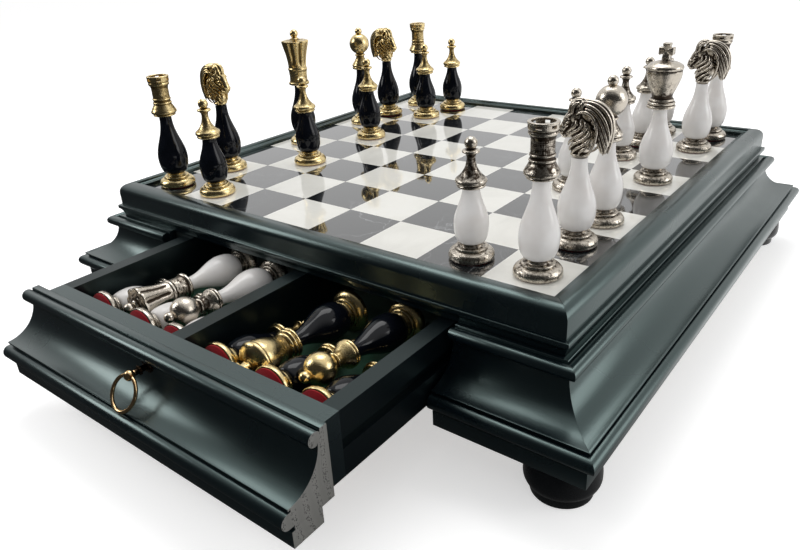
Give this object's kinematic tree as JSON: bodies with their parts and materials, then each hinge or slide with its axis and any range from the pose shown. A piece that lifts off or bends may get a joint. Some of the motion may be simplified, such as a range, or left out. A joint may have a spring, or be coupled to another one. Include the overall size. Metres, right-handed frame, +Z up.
{
  "type": "chess box with drawers",
  "caption": "Chess board on a moulded case with bun feet, a ring-pull drawer at the front and back, and turned chessmen on the board and in the open front drawer.",
  "frame": {"origin": "on the floor plane of the foot pads, under the middle of the board", "axes": "+Z up; the front drawer opens towards -Y and the back drawer towards +Y; the silver men stand at +X and the gold men at -X"},
  "size_m": [0.4066, 0.5036, 0.1822],
  "materials": {
    "lacquered_wood": "satin dark green-black lacquer",
    "painted_wood": "matt dark paint",
    "carcase_wood": "plain sanded",
    "black_lacquer": "gloss black lacquer",
    "dark_marble": "polished, black with fine pale veins",
    "light_marble": "polished, cream white",
    "green_velvet": "short pile velvet",
    "pull_brass": "polished",
    "pull_bronze": "darkened",
    "gold_metal": "polished gold plate, darker in the hollows",
    "silver_metal": "antiqued silver plate, brown-black in the hollows",
    "black_column": "high gloss black lacquer",
    "white_column": "high gloss white lacquer",
    "red_felt": "felt"
  },
  "bodies": {
    "case": {"top_frame": "lacquered_wood", "board_panel": "painted_wood", "dark_squares": "dark_marble", "light_squares": "light_marble", "border_line": "black_lacquer", "left_moulding": "lacquered_wood", "right_moulding": "lacquered_wood", "corner_mouldings": "lacquered_wood", "carcase_sides": "carcase_wood", "carcase_posts": "painted_wood", "bottom_panel": "carcase_wood", "centre_partition": "carcase_wood", "drawer_guides": "carcase_wood", "drawer_runners": "carcase_wood", "feet": "black_lacquer", "foot_pads": "black_lacquer", "foot_dowels": "carcase_wood", "gold_bases": "gold_metal", "black_columns": "black_column", "gold_pawn_heads": "gold_metal", "gold_officer_heads": "gold_metal", "gold_knight_heads": "gold_metal", "silver_bases": "silver_metal", "white_columns": "white_column", "silver_pawn_heads": "silver_metal", "silver_officer_heads": "silver_metal", "silver_knight_heads": "silver_metal", "board_felts": "red_felt"},
    "front_drawer": {"front_drawer_front": "lacquered_wood", "front_drawer_rail": "lacquered_wood", "front_drawer_sides": "lacquered_wood", "front_drawer_back": "lacquered_wood", "front_drawer_bottom": "carcase_wood", "front_drawer_divider": "lacquered_wood", "front_drawer_lining": "green_velvet", "front_pull_post": "pull_brass", "front_pull_rosette": "pull_bronze", "drawer_gold_bases": "gold_metal", "drawer_black_columns": "black_column", "drawer_gold_heads": "gold_metal", "drawer_silver_bases": "silver_metal", "drawer_white_columns": "white_column", "drawer_silver_heads": "silver_metal", "drawer_felts": "red_felt"},
    "back_drawer": {"back_drawer_front": "lacquered_wood", "back_drawer_rail": "lacquered_wood", "back_drawer_sides": "lacquered_wood", "back_drawer_back": "lacquered_wood", "back_drawer_bottom": "carcase_wood", "back_drawer_divider": "lacquered_wood", "back_drawer_lining": "green_velvet", "back_pull_post": "pull_brass", "back_pull_rosette": "pull_bronze"},
    "front_ring": {"front_ring": "pull_brass"},
    "back_ring": {"back_ring": "pull_brass"}
  },
  "joints": [
    {"name": "front_drawer_slide", "type": "slide", "parent": "case", "child": "front_drawer", "axis": [0, -1, 0], "range_m": [-0.097, 0.025]},
    {"name": "back_drawer_slide", "type": "slide", "parent": "case", "child": "back_drawer", "axis": [0, 1, 0], "range_m": [0, 0.122]},
    {"name": "front_ring_swing", "type": "hinge", "parent": "front_drawer", "child": "front_ring", "pos_m": [0, -0.2875, 0.0603], "axis": [-1, 0, 0], "range_deg": [0, 170]},
    {"name": "back_ring_swing", "type": "hinge", "parent": "back_drawer", "child": "back_ring", "pos_m": [0, 0.1905, 0.0603], "axis": [1, 0, 0], "range_deg": [0, 170]}
  ]
}
